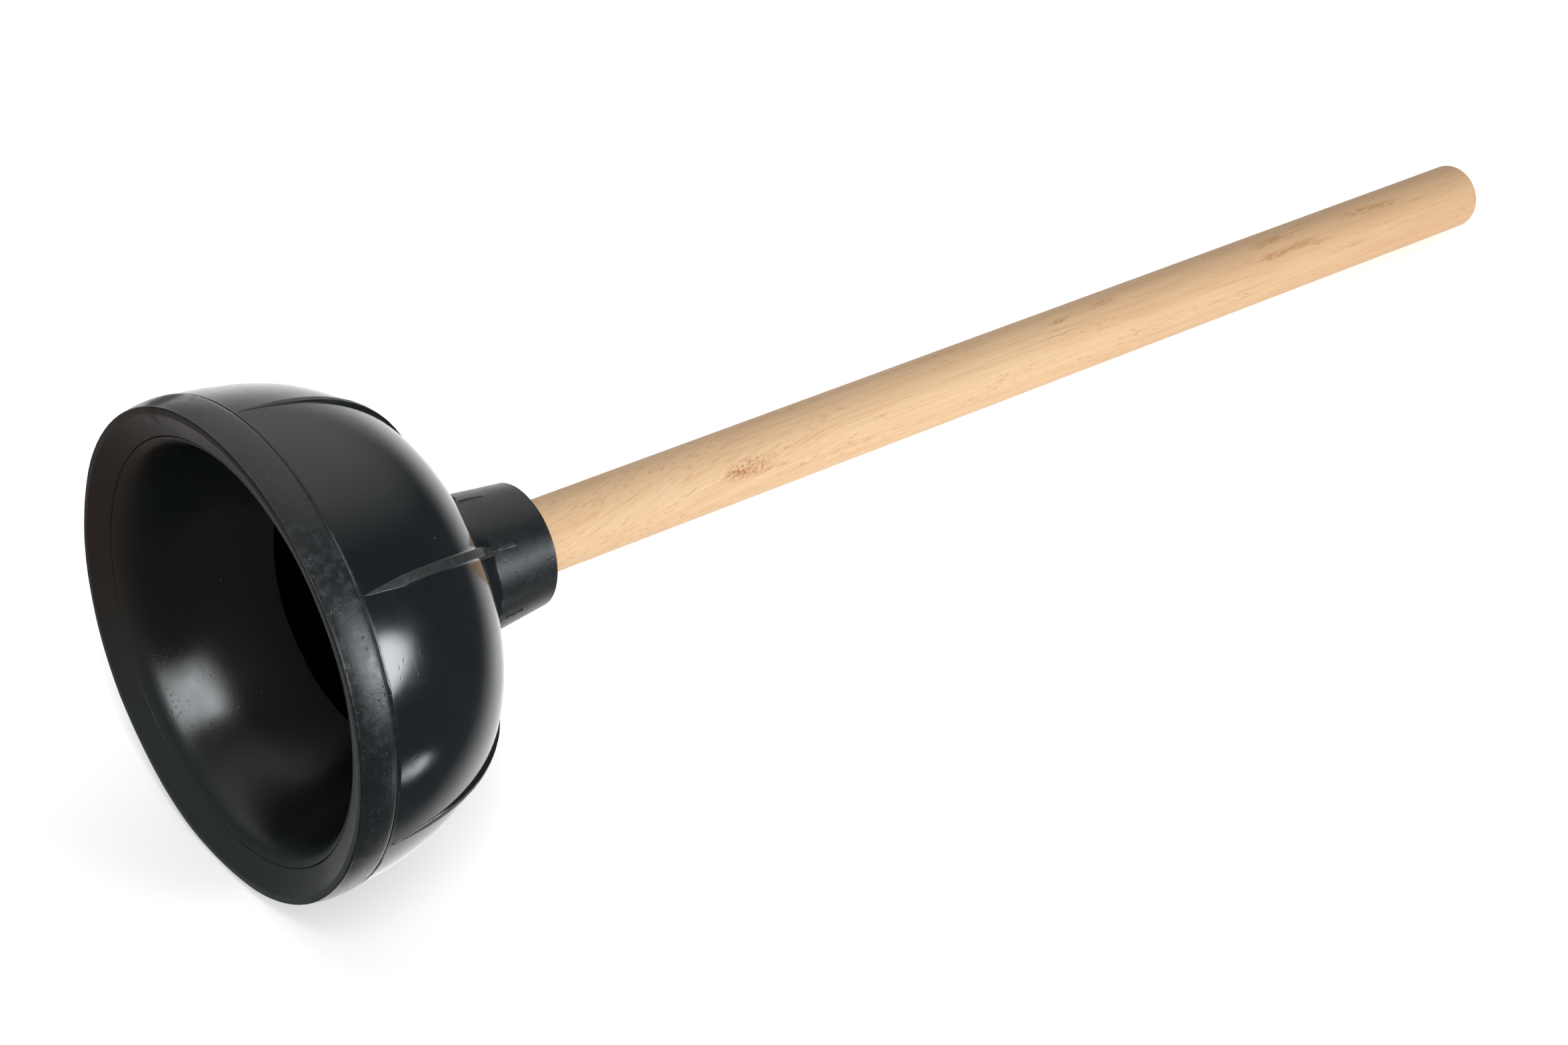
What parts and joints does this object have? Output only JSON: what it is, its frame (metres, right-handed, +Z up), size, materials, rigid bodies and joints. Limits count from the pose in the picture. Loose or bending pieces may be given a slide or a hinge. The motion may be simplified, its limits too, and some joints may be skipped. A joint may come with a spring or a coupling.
{
  "type": "toilet plunger",
  "caption": "Toilet plunger with a ribbed black rubber dome cup, a fold-out flange tucked inside its mouth, and a straight round wooden handle screwed into the cup's collar.",
  "frame": {"origin": "centre of the plane that the cup's lip rests on", "axes": "+Z up the middle of the handle, from the cup's mouth to the handle's free end; +X and +Y lie in the lip's plane"},
  "size_m": [0.1436, 0.1436, 0.511],
  "materials": {
    "black_rubber": "moulded black rubber, glossy on the bowl and inside, duller and scuffed on the lip",
    "pale_wood": "bare sanded pale hardwood with fine lengthwise grain and small brown pores"
  },
  "bodies": {
    "lip": {"lip_band": "black_rubber", "bowl_wall": "black_rubber", "flange_sleeve": "black_rubber"},
    "crown": {"handle_socket": "black_rubber", "wooden_handle": "pale_wood"},
    "flange_edge": {"flange_edge_ring": "black_rubber"}
  },
  "joints": [
    {"name": "plunge", "type": "slide", "parent": "lip", "child": "crown", "axis": [0, 0, -1], "range_m": [0, 0.012], "stiffness_N_per_m": 2500, "springref_m": -0.0015, "deforming": ["bowl_wall"]},
    {"name": "flange_fold_out", "type": "slide", "parent": "lip", "child": "flange_edge", "axis": [0, 0, -1], "range_m": [0, 0.0792], "deforming": ["flange_sleeve"]}
  ]
}
